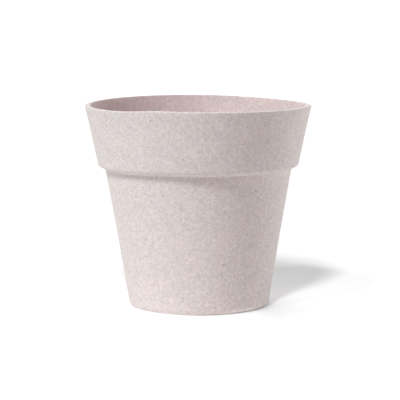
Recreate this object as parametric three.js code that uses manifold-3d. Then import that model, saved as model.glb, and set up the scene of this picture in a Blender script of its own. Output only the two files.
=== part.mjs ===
// A tapered plant pot with a deep stepped rim band, moulded in one piece from
// plant-fibre composite. Millimetres, +Z up, origin at the centre of the foot.

import * as THREE from "three";
import { mergeVertices } from "three/addons/utils/BufferGeometryUtils.js";
import Module from "manifold-3d";

// Overall sizes
const HEIGHT = 117.5;
const RIM_DIAMETER = 130; // outside, where the band's slope reaches the top
const WALL = 3.3; // square to the wall, the same all the way up

// Lip: the rounded top edge of the wall
const LIP_OUTER_RADIUS = 0.6;
const LIP_INNER_RADIUS = 0.4;

// Rim band: the deep collar that stands proud of the body
const BAND_HEIGHT = 37.2;
const BAND_STEP = 3.65; // how far the band stands out from the body at its foot
const BAND_EDGE_RISE = 1.8; // the underside slopes up this much, from the body out to the edge
const BAND_EDGE_RADIUS = 3.3;

// Body: the tapered wall below the band
const BODY_TOP_DIAMETER = 107.8; // outside, just under the band
const BODY_FOOT_DIAMETER = 80.8; // outside, where the wall's slope would reach the ground
const BODY_BOW = 0.3; // how far the wall bows in, half way up
const HEEL_RADIUS = 4.8; // outside, between the wall and the foot

// Inside: a ledge where the wall steps in below the band, and a rounded floor edge
const LEDGE_CORNER_RADIUS = 1.2; // the hollow corner at the back of the ledge
const LEDGE_EDGE_RADIUS = 2; // the ledge's rounded front edge
const FLOOR_EDGE_RADIUS = 4;

// Floor: raised off the ground on a closed foot ring, and pierced for drainage
const FLOOR_THICKNESS = 3;
const FOOT_RING_HEIGHT = 2;
const FOOT_RING_WIDTH = 4.5; // from the heel's rounding to the recess under the floor
const FOOT_RING_DRAFT = 0.8; // how far the ring's inner side leans in, from ground to floor
const FOOT_RING_FILLET = 1;
const CENTRE_HOLE_DIAMETER = 9;
const OUTER_HOLE_DIAMETER = 8;
const OUTER_HOLE_COUNT = 4;
const OUTER_HOLE_MARGIN = 5; // between an outer hole and the foot ring

// Fineness of the faceted surface
const SEGMENTS_AROUND = 72;
const HOLE_SEGMENTS = 24;
const BODY_STEPS = 5;
const ARC_STEP = THREE.MathUtils.degToRad(20);
const FEWEST_ARC_STEPS = 2;
const WELD_DISTANCE = 1e-4; // points closer than this are one point

const DRILL_OVERRUN = 1; // how far a drill shape passes the floor on each side
const FREE_SIDE_SHARE = 0.98; // the most of a side that one rounding may use
const SHARED_SIDE_SHARE = 0.49; // the same, where both ends of the side are rounded

const bandFootZ = HEIGHT - BAND_HEIGHT;
const rimRadius = RIM_DIAMETER / 2;
const bodyTopRadius = BODY_TOP_DIAMETER / 2;
const bodyFootRadius = BODY_FOOT_DIAMETER / 2;
const bandFootRadius = bodyTopRadius + BAND_STEP;
const bodyLean = Math.atan2(bodyTopRadius - bodyFootRadius, bandFootZ);
const heelReach = HEEL_RADIUS * Math.tan((Math.PI / 2 - bodyLean) / 2);
const recessRadius = bodyFootRadius - heelReach - FOOT_RING_WIDTH;
const floorTopZ = FOOT_RING_HEIGHT + FLOOR_THICKNESS;
const bandEdgeZ = bandFootZ + BAND_EDGE_RISE;
const ledgeZ = bandFootZ + BAND_EDGE_RISE / 2 + WALL;

// Horizontal thickness of a wall that leans out by run over rise.
function slantedWall(run, rise) {
  return (WALL * Math.hypot(run, rise)) / rise;
}

const bandInset = slantedWall(rimRadius - bandFootRadius, BAND_HEIGHT);
const bodyInset = slantedWall(bodyTopRadius - bodyFootRadius, bandFootZ);

function bandRadius(z) {
  return THREE.MathUtils.mapLinear(z, bandFootZ, HEIGHT, bandFootRadius, rimRadius);
}

function bodyRadius(z) {
  const share = z / bandFootZ;
  const straight = THREE.MathUtils.lerp(bodyFootRadius, bodyTopRadius, share);
  return straight - 4 * BODY_BOW * share * (1 - share);
}

// One corner of the section: its distance from the axis, its height and its rounding.
function corner(r, z, radius = 0) {
  return { at: new THREE.Vector2(r, z), radius };
}

// The bowed body wall between two heights, moved in by inset, without its end corners.
function bodyWall(fromZ, toZ, inset) {
  const corners = [];
  for (let i = 1; i < BODY_STEPS; i++) {
    const z = THREE.MathUtils.lerp(fromZ, toZ, i / BODY_STEPS);
    corners.push(corner(bodyRadius(z) - inset, z));
  }
  return corners;
}

// How far along a side a rounding may reach from one end of it.
function roundingRoom(side, farCorner) {
  return side.length() * (farCorner.radius > 0 ? SHARED_SIDE_SHARE : FREE_SIDE_SHARE);
}

// The points of one rounded corner, from where its arc leaves the side before it
// to where it joins the side after it.
function roundCorner(before, { at, radius }, after) {
  if (radius === 0) return [at];
  const back = before.at.clone().sub(at);
  const on = after.at.clone().sub(at);
  const room = Math.min(roundingRoom(back, before), roundingRoom(on, after));
  back.normalize();
  on.normalize();
  const half = Math.acos(back.dot(on)) / 2;
  const tangent = Math.min(radius / Math.tan(half), room);
  const arcRadius = tangent * Math.tan(half);
  const towards = back.clone().add(on).normalize();
  const centre = at.clone().addScaledVector(towards, arcRadius / Math.sin(half));
  const start = at.clone().addScaledVector(back, tangent).sub(centre);
  const sweep = (Math.PI - 2 * half) * Math.sign(back.cross(on));
  const steps = Math.max(FEWEST_ARC_STEPS, Math.ceil(Math.abs(sweep) / ARC_STEP));
  const points = [];
  for (let i = 0; i <= steps; i++) {
    const spoke = start.clone().rotateAround(new THREE.Vector2(), (-sweep * i) / steps);
    points.push(spoke.add(centre));
  }
  return points;
}

// The section through one side of the wall, from the axis at the floor's underside,
// out round the foot, up the outside, over the lip and down the inside to the axis.
function potSection() {
  const corners = [
    corner(0, FOOT_RING_HEIGHT),
    corner(recessRadius - FOOT_RING_DRAFT, FOOT_RING_HEIGHT, FOOT_RING_FILLET),
    corner(recessRadius, 0),
    corner(bodyFootRadius, 0, HEEL_RADIUS),
    ...bodyWall(0, bandFootZ, 0),
    corner(bodyTopRadius, bandFootZ),
    corner(bandRadius(bandEdgeZ), bandEdgeZ, BAND_EDGE_RADIUS),
    corner(rimRadius, HEIGHT, LIP_OUTER_RADIUS),
    corner(rimRadius - bandInset, HEIGHT, LIP_INNER_RADIUS),
    corner(bandRadius(ledgeZ) - bandInset, ledgeZ, LEDGE_CORNER_RADIUS),
    corner(bodyRadius(ledgeZ) - bodyInset, ledgeZ, LEDGE_EDGE_RADIUS),
    ...bodyWall(ledgeZ, floorTopZ, bodyInset),
    corner(bodyRadius(floorTopZ) - bodyInset, floorTopZ, FLOOR_EDGE_RADIUS),
    corner(0, floorTopZ),
  ];
  return corners.flatMap((c, i) =>
    i === 0 || i === corners.length - 1
      ? [c.at]
      : roundCorner(corners[i - 1], c, corners[i + 1]),
  );
}

const wasm = await Module();
wasm.setup();

// A closed geometry as a solid that can be cut.
function solidOf(geometry) {
  const bare = geometry.clone();
  bare.deleteAttribute("normal");
  bare.deleteAttribute("uv");
  const merged = mergeVertices(bare, WELD_DISTANCE);
  return new wasm.Manifold(
    new wasm.Mesh({
      numProp: 3,
      vertProperties: new Float32Array(merged.attributes.position.array),
      triVerts: new Uint32Array(merged.index.array),
    }),
  );
}

// A solid's surface as a geometry with flat-shaded faces.
function geometryOf(solid) {
  const { vertProperties, triVerts } = solid.getMesh();
  const geometry = new THREE.BufferGeometry();
  geometry.setAttribute("position", new THREE.BufferAttribute(vertProperties, 3));
  geometry.setIndex(new THREE.BufferAttribute(triVerts, 1));
  const faceted = geometry.toNonIndexed();
  faceted.computeVertexNormals();
  return faceted;
}

// The shape of one drainage hole, as a drill standing through the floor.
function drainDrill(diameter, x, y) {
  const length = FLOOR_THICKNESS + 2 * DRILL_OVERRUN;
  const radius = diameter / 2;
  const drill = new THREE.CylinderGeometry(radius, radius, length, HOLE_SEGMENTS);
  drill.rotateX(Math.PI / 2);
  drill.translate(x, y, FOOT_RING_HEIGHT + FLOOR_THICKNESS / 2);
  return solidOf(drill);
}

function drainDrills() {
  const drills = [drainDrill(CENTRE_HOLE_DIAMETER, 0, 0)];
  const floorEdge = recessRadius - FOOT_RING_DRAFT;
  const reach = floorEdge - OUTER_HOLE_MARGIN - OUTER_HOLE_DIAMETER / 2;
  for (let i = 0; i < OUTER_HOLE_COUNT; i++) {
    const angle = (2 * Math.PI * (i + 0.5)) / OUTER_HOLE_COUNT;
    const x = reach * Math.cos(angle);
    const y = reach * Math.sin(angle);
    drills.push(drainDrill(OUTER_HOLE_DIAMETER, x, y));
  }
  return drills;
}

function makePot() {
  const shell = new THREE.LatheGeometry(potSection(), SEGMENTS_AROUND);
  shell.rotateX(Math.PI / 2);
  const pierced = drainDrills().reduce((solid, drill) => solid.subtract(drill), solidOf(shell));
  const composite = new THREE.MeshStandardMaterial({
    color: 0xd9cdcb,
    roughness: 0.75,
    metalness: 0,
  });
  const pot = new THREE.Mesh(geometryOf(pierced), composite);
  pot.name = "pot";
  return pot;
}

const plantPot = new THREE.Group();
plantPot.add(makePot());

export default plantPot;
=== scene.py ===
"""A pale, speckled plant-fibre pot standing on a white studio floor.

Metres, +Z up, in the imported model's own frame. The pot's fine surface is built here from the
solid's section, with two crisper roundings, softened small edges, and the slight warp that the
real moulding has in its upper wall.
"""

import math

import bpy
from mathutils import Euler, Matrix, Vector, noise
from mathutils.geometry import delaunay_2d_cdt


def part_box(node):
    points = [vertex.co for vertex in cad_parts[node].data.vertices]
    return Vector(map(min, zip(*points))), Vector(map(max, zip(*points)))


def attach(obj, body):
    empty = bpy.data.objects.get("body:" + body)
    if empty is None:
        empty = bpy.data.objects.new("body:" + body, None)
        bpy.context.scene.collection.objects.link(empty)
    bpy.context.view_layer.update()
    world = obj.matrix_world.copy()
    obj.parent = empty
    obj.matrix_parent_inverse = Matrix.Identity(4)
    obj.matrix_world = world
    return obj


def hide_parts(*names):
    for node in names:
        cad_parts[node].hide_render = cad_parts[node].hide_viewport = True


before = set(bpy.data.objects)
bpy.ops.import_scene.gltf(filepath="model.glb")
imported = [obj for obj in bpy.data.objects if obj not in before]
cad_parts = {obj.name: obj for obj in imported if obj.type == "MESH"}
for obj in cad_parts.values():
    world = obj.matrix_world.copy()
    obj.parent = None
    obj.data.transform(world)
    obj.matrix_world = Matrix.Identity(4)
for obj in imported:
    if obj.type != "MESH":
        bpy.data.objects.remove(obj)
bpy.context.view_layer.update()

MM = 0.001

# The pot's section. Its height comes from the frame.
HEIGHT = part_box("pot")[1].z
RIM_RADIUS = 65 * MM  # outside, where the band's slope reaches the top
WALL = 3.3 * MM
LIP_OUTER_RADIUS = 0.6 * MM
LIP_INNER_RADIUS = 0.4 * MM
BAND_FOOT_Z = 80.3 * MM
BAND_STEP = 3.65 * MM  # how far the band stands out from the body at its foot
BAND_EDGE_RISE = 1.8 * MM  # the band's underside slopes up this much, out to the edge
BAND_EDGE_RADIUS = 2.5 * MM  # a little crisper than the solid's
BODY_TOP_RADIUS = 53.9 * MM
BAND_FOOT_RADIUS = BODY_TOP_RADIUS + BAND_STEP
BODY_FOOT_RADIUS = 40.4 * MM
BODY_BOW = 0.3 * MM  # how far the wall bows in, half way up
STEP_FILLET = 0.35 * MM  # in the corner where the underside meets the body
HEEL_RADIUS = 4 * MM  # also crisper than the solid's
LEDGE_CORNER_RADIUS = 1.2 * MM
LEDGE_EDGE_RADIUS = 2 * MM
FLOOR_EDGE_RADIUS = 4 * MM
FLOOR_UNDERSIDE_Z = 2 * MM
FLOOR_TOP_Z = 5 * MM
RECESS_RADIUS = 31.84 * MM
RECESS_DRAFT = 0.8 * MM
RECESS_FILLET = 1 * MM
FOOT_INNER_RADIUS = 0.4 * MM  # the softened inner edge of the foot ring

# Drainage holes
CENTRE_HOLE_RADIUS = 4.5 * MM
OUTER_HOLE_RADIUS = 4 * MM
OUTER_HOLE_COUNT = 4
OUTER_HOLE_MARGIN = 5 * MM  # between an outer hole and the foot ring
OUTER_HOLE_REACH = RECESS_RADIUS - RECESS_DRAFT - OUTER_HOLE_MARGIN - OUTER_HOLE_RADIUS
HOLE_EDGE_RADIUS = 0.4 * MM

# Fineness of the mesh
SEGMENTS_AROUND = 288
BODY_STEPS = 16
ARC_STEP = math.radians(9)
FEWEST_ARC_STEPS = 3
LONGEST_STEP = 2 * MM
HOLE_SEGMENTS = 48
HOLE_EDGE_STEPS = 4
FLOOR_GRID = 2.2 * MM
HOLE_CLEARANCE = 0.7 * FLOOR_GRID  # the floor's grid keeps this far from the holes
EDGE_CLEARANCE = 0.6 * FLOOR_GRID  # and this far from its own outer edge
FLAT_SHARE = 2  # the section ends on a flat, this many rounding radii in from its corner
FREE_SIDE_SHARE = 0.99  # the most of a side that one rounding may use
SHARED_SIDE_SHARE = 0.49  # the same, where both ends of the side are rounded
CREST_TOLERANCE = 0.01 * MM  # points this little below the full height are on the lip's top
WELD_DISTANCE = 1e-9  # metres, far below any real gap


def wall_inset(run, rise):
    """Horizontal thickness of a wall that leans out by run over rise."""
    return WALL * math.hypot(run, rise) / rise


def body_radius(z):
    """Outside radius of the body below the band, with its slight bow."""
    share = z / BAND_FOOT_Z
    straight = BODY_FOOT_RADIUS + (BODY_TOP_RADIUS - BODY_FOOT_RADIUS) * share
    return straight - 4 * BODY_BOW * share * (1 - share)


def band_share(z):
    """How far up the band a height is, from 0 at its foot to 1 at the top."""
    return (z - BAND_FOOT_Z) / (HEIGHT - BAND_FOOT_Z)


def band_radius(z):
    """Outside radius of the band."""
    return BAND_FOOT_RADIUS + (RIM_RADIUS - BAND_FOOT_RADIUS) * band_share(z)


def body_wall(low, high, inset):
    """Corners along the bowed wall between two heights, without its ends."""
    heights = [low + (high - low) * i / BODY_STEPS for i in range(1, BODY_STEPS)]
    return [(body_radius(z) - inset, z, 0) for z in heights]


def round_corner(before, corner, after):
    """Points of one rounded corner, from the side before it to the side after it."""
    at = Vector(corner[:2])
    radius = corner[2]
    if radius == 0:
        return [at]
    back = Vector(before[:2]) - at
    on = Vector(after[:2]) - at
    room = min(
        back.length * (SHARED_SIDE_SHARE if before[2] else FREE_SIDE_SHARE),
        on.length * (SHARED_SIDE_SHARE if after[2] else FREE_SIDE_SHARE),
    )
    back.normalize()
    on.normalize()
    half = back.angle(on) / 2
    tangent = min(radius / math.tan(half), room)
    centre = at + (back + on).normalized() * (tangent / math.cos(half))
    start = at + back * tangent - centre
    sweep = math.copysign(math.pi - 2 * half, on.x * back.y - on.y * back.x)
    steps = max(FEWEST_ARC_STEPS, math.ceil(abs(sweep) / ARC_STEP))
    turns = [Matrix.Rotation(sweep * i / steps, 2) for i in range(steps + 1)]
    return [centre + turn @ start for turn in turns]


def refined(points):
    """The same line, with no step longer than LONGEST_STEP."""
    fine = [points[0]]
    for a, b in zip(points, points[1:]):
        steps = max(1, math.ceil((b - a).length / LONGEST_STEP))
        fine += [a.lerp(b, i / steps) for i in range(1, steps + 1)]
    return fine


def pot_section():
    """The section from the floor's underside out round the foot, up, over the lip and in.

    Each corner is its distance from the axis, its height and the radius of its rounding.
    """
    band_inset = wall_inset(RIM_RADIUS - BAND_FOOT_RADIUS, HEIGHT - BAND_FOOT_Z)
    body_inset = wall_inset(BODY_TOP_RADIUS - BODY_FOOT_RADIUS, BAND_FOOT_Z)
    edge_z = BAND_FOOT_Z + BAND_EDGE_RISE
    ledge_z = BAND_FOOT_Z + BAND_EDGE_RISE / 2 + WALL
    recess_corner = RECESS_RADIUS - RECESS_DRAFT
    floor_corner = body_radius(FLOOR_TOP_Z) - body_inset
    corners = [
        (recess_corner - FLAT_SHARE * RECESS_FILLET, FLOOR_UNDERSIDE_Z, 0),
        (recess_corner, FLOOR_UNDERSIDE_Z, RECESS_FILLET),
        (RECESS_RADIUS, 0, FOOT_INNER_RADIUS),
        (BODY_FOOT_RADIUS, 0, HEEL_RADIUS),
        *body_wall(0, BAND_FOOT_Z, 0),
        (BODY_TOP_RADIUS, BAND_FOOT_Z, STEP_FILLET),
        (band_radius(edge_z), edge_z, BAND_EDGE_RADIUS),
        (RIM_RADIUS, HEIGHT, LIP_OUTER_RADIUS),
        (RIM_RADIUS - band_inset, HEIGHT, LIP_INNER_RADIUS),
        (band_radius(ledge_z) - band_inset, ledge_z, LEDGE_CORNER_RADIUS),
        (body_radius(ledge_z) - body_inset, ledge_z, LEDGE_EDGE_RADIUS),
        *body_wall(ledge_z, FLOOR_TOP_Z, body_inset),
        (floor_corner, FLOOR_TOP_Z, FLOOR_EDGE_RADIUS),
        (floor_corner - FLAT_SHARE * FLOOR_EDGE_RADIUS, FLOOR_TOP_Z, 0),
    ]
    points = [Vector(corners[0][:2])]
    for before, corner, after in zip(corners, corners[1:], corners[2:]):
        points += round_corner(before, corner, after)
    points.append(Vector(corners[-1][:2]))
    return refined(points)


class MeshParts:
    """Points and faces gathered for one mesh, and which points are on the pot's inside."""

    def __init__(self):
        self.points = []
        self.inside = []
        self.faces = []

    def add(self, point, inside=False):
        """Index of a new point."""
        self.points.append(Vector(point))
        self.inside.append(float(inside))
        return len(self.points) - 1

    def ring(self, centre, radius, z, count, inside=False):
        """Indices of a circle of new points about a vertical axis."""
        angles = [2 * math.pi * i / count for i in range(count)]
        x, y = centre
        spots = [(x + radius * math.cos(a), y + radius * math.sin(a), z) for a in angles]
        return [self.add(spot, inside) for spot in spots]

    def bridge(self, first, second):
        """Quads between two rings of the same count."""
        for i in range(len(first)):
            j = (i + 1) % len(first)
            self.faces.append((first[i], first[j], second[j], second[i]))


def hole_places():
    """Centre and radius of each drainage hole."""
    places = [((0, 0), CENTRE_HOLE_RADIUS)]
    for i in range(OUTER_HOLE_COUNT):
        angle = 2 * math.pi * (i + 0.5) / OUTER_HOLE_COUNT
        centre = (OUTER_HOLE_REACH * math.cos(angle), OUTER_HOLE_REACH * math.sin(angle))
        places.append((centre, OUTER_HOLE_RADIUS))
    return places


def near_hole(spot, margin):
    """Whether a place on the floor is in a drainage hole or within margin of one."""
    return any((spot - Vector(centre)).length < radius + margin for centre, radius in hole_places())


def hole_rings(parts, centre, radius):
    """A hole's wall through the floor, its two edges rounded. Gives its lowest and highest ring."""
    quarter = [math.pi / 2 * i / HOLE_EDGE_STEPS for i in range(HOLE_EDGE_STEPS + 1)]
    edge = [(1 - math.sin(a), 1 - math.cos(a)) for a in quarter]
    edge = [(HOLE_EDGE_RADIUS * out, HOLE_EDGE_RADIUS * up) for out, up in edge]
    low = [(radius + out, FLOOR_UNDERSIDE_Z + up, False) for out, up in edge]
    high = [(radius + out, FLOOR_TOP_Z - up, True) for out, up in reversed(edge)]
    rings = [parts.ring(centre, r, z, HOLE_SEGMENTS, inside) for r, z, inside in low + high]
    for a, b in zip(rings, rings[1:]):
        parts.bridge(b, a)  # downwards, so that the wall faces the hole's axis
    return rings[0], rings[-1]


def floor_grid(outer_radius):
    """Places on the floor's flat, in staggered rows, clear of its edge and its holes."""
    row_gap = FLOOR_GRID * math.sin(math.pi / 3)
    reach = int(outer_radius / FLOOR_GRID) + 1
    spots = []
    for row in range(-reach, reach + 1):
        shift = 0.5 * (row % 2)
        for column in range(-reach, reach + 1):
            spot = Vector(((column + shift) * FLOOR_GRID, row * row_gap))
            if spot.length < outer_radius - EDGE_CLEARANCE and not near_hole(spot, HOLE_CLEARANCE):
                spots.append(spot)
    return spots


def floor_face(parts, z, outer, holes, facing_up):
    """Fills the flat between an outer ring and the holes' rings with even triangles."""
    known = []
    edges = []
    for loop in [outer] + holes:
        start = len(known)
        count = len(loop)
        edges += [(start + i, start + (i + 1) % count) for i in range(count)]
        known += loop
    outer_radius = parts.points[outer[0]].xy.length
    flat = [parts.points[i].xy for i in known] + floor_grid(outer_radius)
    points, _, faces, sources, _, _ = delaunay_2d_cdt(flat, edges, [], 0, WELD_DISTANCE)
    index = []
    for point, source in zip(points, sources):
        if source and source[0] < len(known):  # a ring's own point
            index.append(known[source[0]])
        else:
            index.append(parts.add((point.x, point.y, z), facing_up))
    for face in faces:
        middle = sum((points[i] for i in face), Vector((0, 0))) / len(face)
        if near_hole(middle, HOLE_EDGE_RADIUS) or middle.length > outer_radius:
            continue
        corners = [index[i] for i in face]
        parts.faces.append(tuple(corners if facing_up else reversed(corners)))


# The moulding's warp, growing towards the rim: (waves around, cosine share, sine share).
LIFT_WAVES = [
    (1, -0.48 * MM, -0.36 * MM),
    (2, -0.47 * MM, -0.30 * MM),
    (3, 0.12 * MM, 0.06 * MM),
    (4, 0.07 * MM, -0.08 * MM),
]
SPREAD_WAVES = [(2, 0.01 * MM, 0.44 * MM), (3, -0.18 * MM, -0.02 * MM)]
FLARE_WAVES = [(0, 0.26 * MM, 0), (1, 0.13 * MM, 0), (2, 0.32 * MM, 0)]  # near the lip only
LIP_SINK = 0.55 * MM  # how far the lip has sunk, from none at the band's foot

# Local shapes of the lip: middle and half width in degrees around, and how far it goes.
FLARES = [(286, 30, 0.5 * MM)]  # outwards
RIPPLES = [(228, 14, -0.30 * MM), (248, 11, 0.34 * MM), (263, 9, -0.22 * MM)]  # upwards

# How late each of these grows on the way up: the power of the height's share.
WARP_SHARPNESS = 2
FLARE_SHARPNESS = 8
RIPPLE_SHARPNESS = 12

# The faint unevenness of the whole wall: how far in and out, and over what length.
WAVINESS = 0.05 * MM
WAVINESS_LENGTH = 24 * MM


def wave_sum(waves, angle):
    """How far the waves move the wall at an angle round the pot."""
    return sum(c * math.cos(n * angle) + s * math.sin(n * angle) for n, c, s in waves)


def bump_sum(bumps, angle):
    """How far the local shapes move the lip at an angle round the pot."""
    around = math.degrees(angle) % 360
    return sum(far * math.exp(-(((around - middle) / width) ** 2)) for middle, width, far in bumps)


def warped(point):
    """A point of the perfect pot moved to where the real, slightly warped wall has it."""
    radius = point.xy.length
    if radius < RECESS_RADIUS:
        return point
    angle = math.atan2(point.y, point.x)
    up = max(0, point.z / HEIGHT)
    spread = up**WARP_SHARPNESS * wave_sum(SPREAD_WAVES, angle)
    spread += up**FLARE_SHARPNESS * (wave_sum(FLARE_WAVES, angle) + bump_sum(FLARES, angle))
    spread += min(1, point.z / BAND_FOOT_Z) * WAVINESS * noise.noise(point / WAVINESS_LENGTH)
    scale = 1 + spread / radius
    lift = up**WARP_SHARPNESS * wave_sum(LIFT_WAVES, angle)
    lift += up**RIPPLE_SHARPNESS * bump_sum(RIPPLES, angle)
    lift -= LIP_SINK * max(0, band_share(point.z))
    return Vector((point.x * scale, point.y * scale, point.z + lift))


def make_pot():
    """The pot's whole surface as one closed mesh."""
    parts = MeshParts()
    section = pot_section()
    crest = max(i for i, p in enumerate(section) if p.y > HEIGHT - CREST_TOLERANCE)
    rings = [
        parts.ring((0, 0), p.x, p.y, SEGMENTS_AROUND, i > crest) for i, p in enumerate(section)
    ]
    for a, b in zip(rings, rings[1:]):
        parts.bridge(a, b)
    ends = [hole_rings(parts, centre, radius) for centre, radius in hole_places()]
    floor_face(parts, FLOOR_UNDERSIDE_Z, rings[0], [low for low, high in ends], False)
    floor_face(parts, FLOOR_TOP_Z, rings[-1], [high for low, high in ends], True)
    mesh = bpy.data.meshes.new("pot_surface")
    mesh.from_pydata([warped(p) for p in parts.points], [], parts.faces)
    mesh.shade_smooth()
    inside = mesh.attributes.new("inside", "FLOAT", "POINT")
    inside.data.foreach_set("value", parts.inside)
    mesh.validate()
    pot = bpy.data.objects.new("pot_surface", mesh)
    bpy.context.scene.collection.objects.link(pot)
    return pot


class Nodes:
    """Short calls for building one node tree."""

    def __init__(self, tree):
        self.tree = tree
        tree.nodes.clear()

    def add(self, kind, settings=None, **inputs):
        """A new node, with its inputs by name and _ for a space."""
        node = self.tree.nodes.new(kind)
        for name, value in (settings or {}).items():
            setattr(node, name, value)
        for name, value in inputs.items():
            self.set(node.inputs[name.replace("_", " ")], value)
        return node

    def set(self, socket, value):
        """Gives a socket a fixed value, or a link from another node's output."""
        if isinstance(value, bpy.types.NodeSocket):
            self.tree.links.new(value, socket)
        else:
            socket.default_value = value

    def fill(self, node, values):
        """Gives a node its first inputs, in their order."""
        for socket, value in zip(node.inputs, values):
            self.set(socket, value)

    def math(self, operation, *values):
        """The result of an operation on numbers."""
        node = self.add("ShaderNodeMath", {"operation": operation})
        self.fill(node, values)
        return node.outputs[0]

    def vector(self, operation, *values):
        """The node of an operation on vectors."""
        node = self.add("ShaderNodeVectorMath", {"operation": operation})
        self.fill(node, values)
        return node

    def product(self, first, *others):
        """All the numbers multiplied."""
        result = first
        for value in others:
            result = self.math("MULTIPLY", result, value)
        return result

    def ramp(self, value, low, high):
        """Smoothly 0 to 1 as value goes from low to high."""
        node = self.add(
            "ShaderNodeMapRange",
            {"interpolation_type": "SMOOTHSTEP"},
            Value=value,
            From_Min=low,
            From_Max=high,
        )
        return node.outputs["Result"]

    def mix(self, share, first, second):
        """Colour first, going to colour second as share goes to 1."""
        node = self.add("ShaderNodeMix", {"data_type": "RGBA"})
        self.set(node.inputs[0], share)
        self.set(node.inputs[6], first)  # 6 and 7 are the sockets for colours
        self.set(node.inputs[7], second)
        return node.outputs[2]

    def two_shaders(self, kind, first, second, **inputs):
        """The result of a node whose last two inputs are shaders."""
        node = self.add(kind, **inputs)
        self.set(node.inputs[-2], first)
        self.set(node.inputs[-1], second)
        return node.outputs[0]

    def seen(self):
        """1 where a viewer sees the thing, straight, in gloss or through glass, and 0 elsewhere."""
        path = self.add("ShaderNodeLightPath").outputs
        glossy = self.math("MAXIMUM", path["Is Camera Ray"], path["Is Glossy Ray"])
        return self.math("MAXIMUM", glossy, path["Is Transmission Ray"])


def srgb(red, green, blue):
    """A colour written as 0 to 255, as Blender's linear values."""

    def linear(value):
        value /= 255
        return value / 12.92 if value <= 0.04045 else ((value + 0.055) / 1.055) ** 2.4

    return (linear(red), linear(green), linear(blue), 1)


# The composite's colours, and how far its mottling goes towards the shade.
PALE_GREY = srgb(223, 216, 214)
PALE_PINK = srgb(230, 218, 217)
SHADE = srgb(188, 174, 172)
PATCH_SHARE = 0.45
GRAIN_SHARE = 0.42
NO_TINT = (1, 1, 1, 1)
INNER_BOUNCE_TINT = (1.045, 0.975, 0.98, 1)  # painted bounce light: the inside is tinted pinker, for the light bounced round within the pot

# The mottling, from coarse to fine: size, detail, and the noise that counts as 0 and as 1.
BLOTCH = (7 * MM, 2.0, 0.3, 0.7)
PATCH = (1.8 * MM, 1.0, 0.25, 0.75)
GRAIN = (0.8 * MM, 2.0, 0.3, 0.7)
PEEL = (0.45 * MM, 2.0, 0.2, 0.8)
NOISE_ROUGHNESS = 0.6

# The flecks, one layer to a line: spacing, share of cells with a fleck, radius,
# turn of the grid, stretch, strength and colour.
FLECKS = [
    (1.5 * MM, 0.80, 0.47 * MM, (0, 0, 0), 1.2, 0.30, srgb(158, 141, 136)),
    (1.5 * MM, 0.60, 0.45 * MM, (40, 15, 20), 1.4, 0.18, srgb(246, 240, 236)),
    (0.8 * MM, 0.20, 0.15 * MM, (25, 70, 35), 3, 0.35, srgb(160, 141, 132)),
    (3.6 * MM, 0.28, 0.52 * MM, (10, 30, 60), 1.3, 0.50, srgb(146, 128, 122)),
]
SMALLEST_FLECK = 0.4  # of the layer's radius, and the largest is 1 more
FLECK_CORE = 0.6  # the share of a fleck's own radius out to which it has its full strength

# The surface: its relief and its gloss.
FLECK_RELIEF = 0.5  # how high a fleck stands, beside the grain's and the peel's 1
RELIEF_STRENGTH = 0.35
RELIEF_HEIGHT = 0.03 * MM
SMOOTHEST = 0.62  # the roughness where there is no grain
GRAIN_ROUGHNESS = 0.12  # how much rougher the grain makes it
BINDER_IOR = 1.45


def placed(nodes, coords, turn, stretch):
    """Coordinates turned by an Euler angle in degrees and stretched along the turned X."""
    point = {"vector_type": "POINT"}
    rotation = Euler([math.radians(a) for a in turn])
    turned = nodes.add("ShaderNodeMapping", point, Vector=coords, Rotation=rotation).outputs[0]
    return nodes.add("ShaderNodeMapping", point, Vector=turned, Scale=(1 / stretch, 1, 1)).outputs[0]


def flecks(nodes, coords, spacing, share, radius):
    """A mask of scattered flecks: one in each cell of that spacing, in a share of the cells."""
    cells = nodes.add(
        "ShaderNodeTexVoronoi",
        {"feature": "F1"},
        Vector=coords,
        Scale=1 / spacing,
        Randomness=1.0,
    )
    lot = nodes.add("ShaderNodeSeparateColor", Color=cells.outputs["Color"])
    chosen = nodes.math("LESS_THAN", lot.outputs[0], share)
    unit = radius / spacing
    size = nodes.math("MULTIPLY_ADD", lot.outputs[1], unit, SMALLEST_FLECK * unit)
    core = nodes.math("MULTIPLY", size, FLECK_CORE)
    spot = nodes.ramp(cells.outputs["Distance"], size, core)
    return nodes.math("MULTIPLY", spot, chosen)


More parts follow.
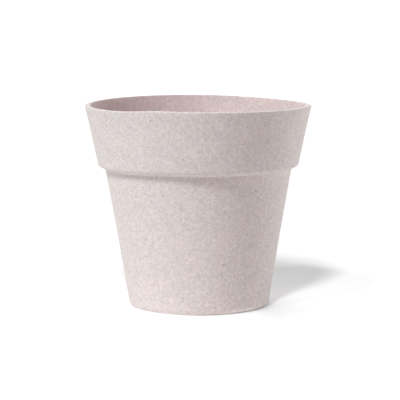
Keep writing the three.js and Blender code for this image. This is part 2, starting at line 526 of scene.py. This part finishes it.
def fibre_composite():
    """Pressed plant fibre in a pale binder: matte, mottled, with dark and pale flecks."""
    material = bpy.data.materials.new("fibre_composite")
    material.use_nodes = True
    nodes = Nodes(material.node_tree)
    coords = nodes.add("ShaderNodeTexCoord").outputs["Object"]

    def cloud(size, detail, low, high):
        """A mottling of that size, spread from 0 to 1."""
        clouds = nodes.add(
            "ShaderNodeTexNoise",
            Vector=coords,
            Scale=1 / size,
            Detail=detail,
            Roughness=NOISE_ROUGHNESS,
        )
        return nodes.ramp(clouds.outputs["Fac"], low, high)

    def layered(colour, mask, strength, over):
        """The colour, with another over it where the mask is, at that strength."""
        return nodes.mix(nodes.math("MULTIPLY", mask, strength), colour, over)

    colour = nodes.mix(cloud(*BLOTCH), PALE_GREY, PALE_PINK)
    colour = layered(colour, cloud(*PATCH), PATCH_SHARE, SHADE)
    grain = cloud(*GRAIN)
    colour = layered(colour, grain, GRAIN_SHARE, SHADE)
    relief = grain
    for spacing, share, radius, turn, stretch, strength, tone in FLECKS:
        mask = flecks(nodes, placed(nodes, coords, turn, stretch), spacing, share, radius)
        colour = layered(colour, mask, strength, tone)
        relief = nodes.math("MULTIPLY_ADD", mask, FLECK_RELIEF, relief)
    # Painted bounce light: the points marked inside get a pinker tint, standing in for the light bounced
    # round within the pot.
    inside = nodes.add("ShaderNodeAttribute", {"attribute_name": "inside"}).outputs["Fac"]
    bounce_tinted = nodes.vector("MULTIPLY", colour, nodes.mix(inside, NO_TINT, INNER_BOUNCE_TINT))
    bump = nodes.add(
        "ShaderNodeBump",
        Strength=RELIEF_STRENGTH,
        Distance=RELIEF_HEIGHT,
        Height=nodes.math("ADD", relief, cloud(*PEEL)),
    )
    shader = nodes.add(
        "ShaderNodeBsdfPrincipled",
        Base_Color=bounce_tinted.outputs[0],
        Roughness=nodes.math("MULTIPLY_ADD", grain, GRAIN_ROUGHNESS, SMOOTHEST),
        IOR=BINDER_IOR,
        Normal=bump.outputs[0],
    )
    nodes.add("ShaderNodeOutputMaterial", Surface=shader.outputs[0])
    return material


# The white floor, which a viewer sees by its own glow and by the lamps. Far out it is plain white.
FLOOR_HALF = 6.0
FLOOR_GAP = 0.02 * MM  # just under the foot, so that the two faces don't lie in one plane
FLOOR_WHITE = 0.92
FLOOR_GLOW = 0.56
NEAR_FLOOR = 0.3  # from here out the floor goes to plain white
FAR_FLOOR = 1.5  # and here it gets there

# The light that the floor throws on the pot: a little everywhere, and more from pools of light
# round the pot. Each pool is its centre, its radius and its strength.
FLOOR_LIGHT = 0.14
POOLS = [
    ((-20 * MM, -90 * MM, 0), 150 * MM, 0.23),
    ((260 * MM, 140 * MM, 0), 160 * MM, 1.6),
    ((-260 * MM, 60 * MM, 0), 160 * MM, 0.8),
]

# Where the floor throws less of it, in the same form: in the pot's shadow, and close to the
# right of the foot, where the floor also bounces less of the lamps' light.
SHADOW_SPOT = ((120 * MM, 40 * MM, 0), 90 * MM, 0.95)
FOOT_SPOT = ((54 * MM, -2 * MM, 0), 26 * MM, 0.55)

# The floor's shade round the foot: a soft one, a thin dark line away from the light, and the
# dark under the pot. Each side is where its ramp starts and where it is full.
CONTACT_RADIUS = 37 * MM
SHADE_REACH = 42 * MM
FRONT_SHADE = 0.36
FRONT_SIDE = (30 * MM, -30 * MM)
RIGHT_SHADE = 0.35
RIGHT_SIDE = (25 * MM, 42 * MM)
LINE_DEPTH = 0.97
LINE_REACH = 2.5 * MM
LINE_SIDE = (-20 * MM, 4 * MM)
BACK_SIDE = (5 * MM, 30 * MM)


def contact_shade(nodes, coords, away):
    """How much of the light the floor loses near the foot: the soft shade and the line."""
    reach = nodes.math("SUBTRACT", away, CONTACT_RADIUS)

    def fading(length):
        """1 at the foot, fading out over that length."""
        return nodes.math("EXPONENT", nodes.math("MULTIPLY", reach, -1 / length))

    axes = nodes.add("ShaderNodeSeparateXYZ", Vector=coords)
    front = nodes.ramp(axes.outputs["Y"], *FRONT_SIDE)
    right = nodes.ramp(axes.outputs["X"], *RIGHT_SIDE)
    depth = nodes.math("MULTIPLY_ADD", right, RIGHT_SHADE, nodes.math("MULTIPLY", front, FRONT_SHADE))
    soft = nodes.math("MULTIPLY", fading(SHADE_REACH), depth)
    lined = nodes.ramp(axes.outputs["X"], *LINE_SIDE)
    lined = nodes.math("MAXIMUM", lined, nodes.ramp(axes.outputs["Y"], *BACK_SIDE))
    line = nodes.math("MINIMUM", nodes.math("MULTIPLY", fading(LINE_REACH), lined), 1.0)
    under = nodes.math("LESS_THAN", reach, 0.0)
    return soft, nodes.math("MULTIPLY", nodes.math("MAXIMUM", line, under), LINE_DEPTH)


def floor_light(nodes, coords):
    """The glow that the floor throws on the pot, and how pale the floor is for bounced light."""

    def spot(centre, radius, strength, start):
        """A soft round spot of that strength, added to start."""
        distance = nodes.vector("DISTANCE", coords, centre).outputs["Value"]
        share = nodes.math("DIVIDE", distance, radius)
        bell = nodes.math("EXPONENT", nodes.product(share, share, -1.0))
        return nodes.math("MULTIPLY_ADD", bell, strength, start)

    def dimmed(centre, radius, strength):
        """1 everywhere, and less by that strength in a soft round spot."""
        return spot(centre, radius, -strength, 1.0)

    light = FLOOR_LIGHT
    for pool in POOLS:
        light = spot(*pool, light)
    pale = dimmed(*FOOT_SPOT)
    return nodes.product(light, dimmed(*SHADOW_SPOT), pale), pale


def floor_paper():
    """White paper that keeps the pot's shadow, and is clear from below, to show the underside."""
    material = bpy.data.materials.new("studio_floor")
    material.use_nodes = True
    nodes = Nodes(material.node_tree)
    seen = nodes.seen()
    unseen = nodes.math("SUBTRACT", 1.0, seen)
    coords = nodes.add("ShaderNodeTexCoord").outputs["Object"]
    away = nodes.vector("LENGTH", coords).outputs["Value"]
    soft, line = contact_shade(nodes, coords, away)
    clear = nodes.math("SUBTRACT", 1.0, nodes.math("MULTIPLY", seen, line))
    light, pale = floor_light(nodes, coords)

    far = nodes.ramp(away, NEAR_FLOOR, FAR_FLOOR)
    shown = nodes.math("MULTIPLY_ADD", far, 1 - FLOOR_GLOW, FLOOR_GLOW)
    shown = nodes.product(shown, seen, clear)
    strength = nodes.math("MULTIPLY_ADD", light, unseen, shown)
    glow = nodes.add("ShaderNodeEmission", Strength=strength).outputs[0]

    lit = nodes.math("SUBTRACT", 1.0, nodes.math("MULTIPLY", seen, soft))
    lit = nodes.product(lit, clear, seen)
    lit = nodes.math("MULTIPLY_ADD", pale, unseen, lit)
    white = nodes.math("MULTIPLY", lit, FLOOR_WHITE)
    paper = nodes.add("ShaderNodeBsdfDiffuse", Color=white).outputs[0]

    above = nodes.two_shaders("ShaderNodeAddShader", paper, glow)
    below = nodes.add("ShaderNodeBsdfTransparent").outputs[0]
    from_below = nodes.add("ShaderNodeNewGeometry").outputs["Backfacing"]
    surface = nodes.two_shaders("ShaderNodeMixShader", above, below, Fac=from_below)
    nodes.add("ShaderNodeOutputMaterial", Surface=surface)
    return material


def make_floor():
    """A square of white floor, just under the pot's foot."""
    mesh = bpy.data.meshes.new("studio_floor")
    turns = ((-1, -1), (1, -1), (1, 1), (-1, 1))
    corners = [(x * FLOOR_HALF, y * FLOOR_HALF, -FLOOR_GAP) for x, y in turns]
    mesh.from_pydata(corners, [], [(0, 1, 2, 3)])
    mesh.materials.append(floor_paper())
    floor = bpy.data.objects.new("studio_floor", mesh)
    bpy.context.scene.collection.objects.link(floor)
    return floor


def make_world():
    """White behind everything, which throws no light of its own on the pot."""
    world = bpy.data.worlds.new("studio")
    bpy.context.scene.world = world
    world.use_nodes = True
    nodes = Nodes(world.node_tree)
    background = nodes.add("ShaderNodeBackground", Color=(1, 1, 1, 1), Strength=nodes.seen())
    nodes.add("ShaderNodeOutputWorld", Surface=background.outputs[0])


PLAIN_TONE = (1, 1, 1)
KEY_TONE = (0.955, 1, 1)  # a little cool
EDGE_TONE = (0.88, 1, 1)  # cooler still, along the left edge
FILL_TONE = (1, 0.91, 0.90)  # a little warm

# The soft boxes: azimuth and elevation in degrees, width and height in metres, power in watts
# and tone. Azimuth 0 is in front, at -Y, and 90 is at +X.
LIGHT_DISTANCE = 5.0
FLOOR_LAMPS = [
    ("floor_key", -9, 43, 0.5, 1.0, 158, PLAIN_TONE),
    ("floor_high_key", -30, 52, 0.5, 0.5, 46, PLAIN_TONE),
]
POT_LAMPS = [
    ("overhead", 0, 88, 1.5, 1.5, 10, PLAIN_TONE),
    ("back_top", 180, 50, 1.5, 1.5, 75, PLAIN_TONE),
    ("left_softbox", -45, 48, 1.2, 1.2, 222, KEY_TONE),
    ("left_front", -45, 22, 1.2, 1.2, 8, KEY_TONE),
    ("left_low", -75, 22, 1.2, 1.2, 17, KEY_TONE),
    ("left_back", -145, 8, 2.5, 2.0, 31, EDGE_TONE),
    ("right_front", 60, 31, 2.5, 2.0, 43, FILL_TONE),
    ("right_back", 118, 3, 3.0, 0.75, 83, KEY_TONE),
]


def soft_light(name, azimuth, elevation, width, height, power, tone, only):
    """A soft box aimed at the pot's middle, and screened off what isn't in the collection given."""
    light = bpy.data.lights.new(name, "AREA")
    light.shape = "RECTANGLE"
    light.size = width
    light.size_y = height
    light.energy = power
    light.color = tone
    lamp = bpy.data.objects.new(name, light)
    turn = math.radians(azimuth)
    rise = math.radians(elevation)
    direction = Vector((math.sin(turn) * math.cos(rise), -math.cos(turn) * math.cos(rise), math.sin(rise)))
    lamp.location = Vector((0, 0, HEIGHT / 2)) + direction * LIGHT_DISTANCE
    lamp.rotation_euler = direction.to_track_quat("Z", "Y").to_euler()
    lamp.light_linking.receiver_collection = only
    lamp.visible_camera = False
    bpy.context.scene.collection.objects.link(lamp)


def light_up(lamps, name, thing):
    """Lights one thing with some lamps of its own."""
    only = bpy.data.collections.new(name)
    only.objects.link(thing)
    for lamp in lamps:
        soft_light(*lamp, only)


# The camera, fitted to the outline of the pot in the photograph. Its lens and sensor are in
# millimetres and its farthest distance in metres, as Blender has them.
CAMERA_AIM = Vector((0.78, 0, 61.08)) * MM
CAMERA_DISTANCE = 1410.4 * MM
CAMERA_PITCH = math.radians(7.199)
CAMERA_ROLL = math.radians(0.202)
CAMERA_LENS = 218.88
SENSOR_WIDTH = 36
FARTHEST_SEEN = 100


def make_camera():
    """The camera, which looks along +Y, a little down."""
    camera = bpy.data.cameras.new("camera")
    camera.sensor_fit = "HORIZONTAL"
    camera.sensor_width = SENSOR_WIDTH
    camera.lens = CAMERA_LENS
    camera.clip_end = FARTHEST_SEEN
    eye = bpy.data.objects.new("camera", camera)
    forward = Vector((0, math.cos(CAMERA_PITCH), -math.sin(CAMERA_PITCH)))
    level = Vector((1, 0, 0))
    upright = level.cross(forward)
    right = level * math.cos(CAMERA_ROLL) - upright * math.sin(CAMERA_ROLL)
    up = upright * math.cos(CAMERA_ROLL) + level * math.sin(CAMERA_ROLL)
    turn = Matrix((right, up, -forward)).transposed()
    eye.matrix_world = Matrix.Translation(CAMERA_AIM - forward * CAMERA_DISTANCE) @ turn.to_4x4()
    bpy.context.scene.collection.objects.link(eye)
    bpy.context.scene.camera = eye


make_camera()
pot = make_pot()
pot.data.materials.append(fibre_composite())
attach(pot, "root")
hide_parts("pot")

floor = make_floor()
make_world()
light_up(FLOOR_LAMPS, "floor_only", floor)
light_up(POT_LAMPS, "pot_only", pot)
bpy.context.scene.view_settings.view_transform = "Standard"
